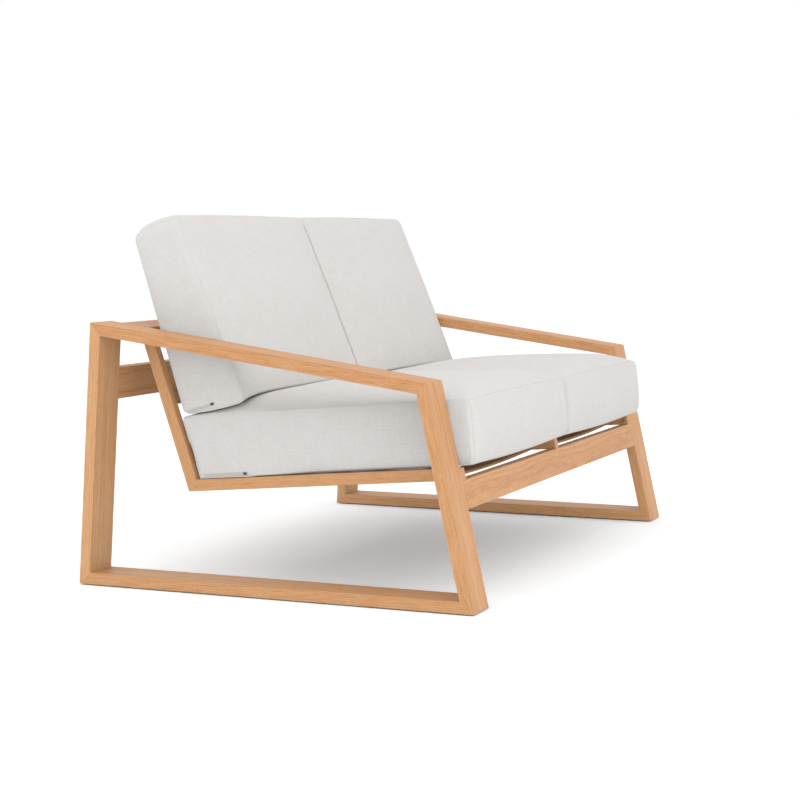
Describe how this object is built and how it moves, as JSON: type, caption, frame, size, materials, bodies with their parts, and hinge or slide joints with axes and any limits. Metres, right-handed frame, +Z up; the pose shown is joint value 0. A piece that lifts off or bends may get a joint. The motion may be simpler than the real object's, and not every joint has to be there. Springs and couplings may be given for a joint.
{
  "type": "patio loveseat",
  "caption": "Low outdoor loveseat with splayed solid-wood side frames, flat sloping arms, sprung slats and loose box cushions in off-white linen covers.",
  "frame": {"origin": "On the floor at the middle of the footprint, under the middle of the seat.", "axes": "+X runs along the seat, to the right of someone looking at the front; +Y runs to the back; +Z is up. The left-hand pieces are those at -X."},
  "size_m": [1.45, 0.908, 0.8002],
  "materials": {
    "hardwood": "oiled, fine straight grain",
    "slat_wood": "oiled",
    "beech": "bare beech",
    "screw_steel": "zinc plated",
    "glide_plastic": "moulded",
    "cover_fabric": "slubbed linen weave",
    "foam": "open-cell foam in wadding",
    "zip_tape": "woven tape and coil",
    "zip_metal": "dark enamel"
  },
  "bodies": {
    "frame": {"left_front_leg": "hardwood", "left_arm_rail": "hardwood", "left_rear_post": "hardwood", "left_runner": "hardwood", "right_front_leg": "hardwood", "right_arm_rail": "hardwood", "right_rear_post": "hardwood", "right_runner": "hardwood", "front_rail": "hardwood", "lower_rear_rail": "hardwood", "top_rail": "hardwood", "left_seat_rail": "hardwood", "left_back_upright": "hardwood", "centre_seat_rail": "hardwood", "centre_back_upright": "hardwood", "right_seat_rail": "hardwood", "right_back_upright": "hardwood", "left_seat_slat_1": "slat_wood", "left_seat_slat_2": "slat_wood", "left_seat_slat_3": "slat_wood", "left_seat_slat_4": "slat_wood", "left_seat_slat_5": "slat_wood", "left_seat_slat_6": "slat_wood", "right_seat_slat_1": "slat_wood", "right_seat_slat_2": "slat_wood", "right_seat_slat_3": "slat_wood", "right_seat_slat_4": "slat_wood", "right_seat_slat_5": "slat_wood", "right_seat_slat_6": "slat_wood", "left_back_slat_1": "slat_wood", "left_back_slat_2": "slat_wood", "right_back_slat_1": "slat_wood", "right_back_slat_2": "slat_wood", "side_frame_tenons": "beech", "heel_tenons": "beech", "rail_dowels": "beech", "upright_dowels": "beech", "frame_screws": "screw_steel", "slat_screws": "screw_steel", "glides": "glide_plastic"},
    "left_seat_cushion": {"left_seat_cushion_cover": "cover_fabric", "left_seat_cushion_foam": "foam", "left_seat_zip": "zip_tape"},
    "left_seat_zip_slider": {"left_seat_zip_slider": "zip_metal"},
    "left_back_cushion": {"left_back_cushion_cover": "cover_fabric", "left_back_cushion_foam": "foam", "left_back_zip": "zip_tape"},
    "left_back_zip_slider": {"left_back_zip_slider": "zip_metal"},
    "right_seat_cushion": {"right_seat_cushion_cover": "cover_fabric", "right_seat_cushion_foam": "foam", "right_seat_zip": "zip_tape"},
    "right_seat_zip_slider": {"right_seat_zip_slider": "zip_metal"},
    "right_back_cushion": {"right_back_cushion_cover": "cover_fabric", "right_back_cushion_foam": "foam", "right_back_zip": "zip_tape"},
    "right_back_zip_slider": {"right_back_zip_slider": "zip_metal"}
  },
  "joints": [
    {"name": "left_seat_cushion_lift", "type": "slide", "parent": "frame", "child": "left_seat_cushion", "axis": [0, -0.9961, 0.0882], "range_m": [0, 0.15]},
    {"name": "left_seat_zip_slide", "type": "slide", "parent": "left_seat_cushion", "child": "left_seat_zip_slider", "axis": [0, 0.9961, -0.0882], "range_m": [0, 0.09]},
    {"name": "left_back_cushion_lift", "type": "slide", "parent": "frame", "child": "left_back_cushion", "axis": [0, 0.3216, 0.9469], "range_m": [0, 0.1]},
    {"name": "left_back_zip_slide", "type": "slide", "parent": "left_back_cushion", "child": "left_back_zip_slider", "axis": [0, 0.9469, -0.3216], "range_m": [0, 0.05]},
    {"name": "right_seat_cushion_lift", "type": "slide", "parent": "frame", "child": "right_seat_cushion", "axis": [0, -0.9961, 0.0882], "range_m": [0, 0.15]},
    {"name": "right_seat_zip_slide", "type": "slide", "parent": "right_seat_cushion", "child": "right_seat_zip_slider", "axis": [0, 0.9961, -0.0882], "range_m": [0, 0.09]},
    {"name": "right_back_cushion_lift", "type": "slide", "parent": "frame", "child": "right_back_cushion", "axis": [0, 0.3216, 0.9469], "range_m": [0, 0.1]},
    {"name": "right_back_zip_slide", "type": "slide", "parent": "right_back_cushion", "child": "right_back_zip_slider", "axis": [0, 0.9469, -0.3216], "range_m": [0, 0.05]}
  ]
}
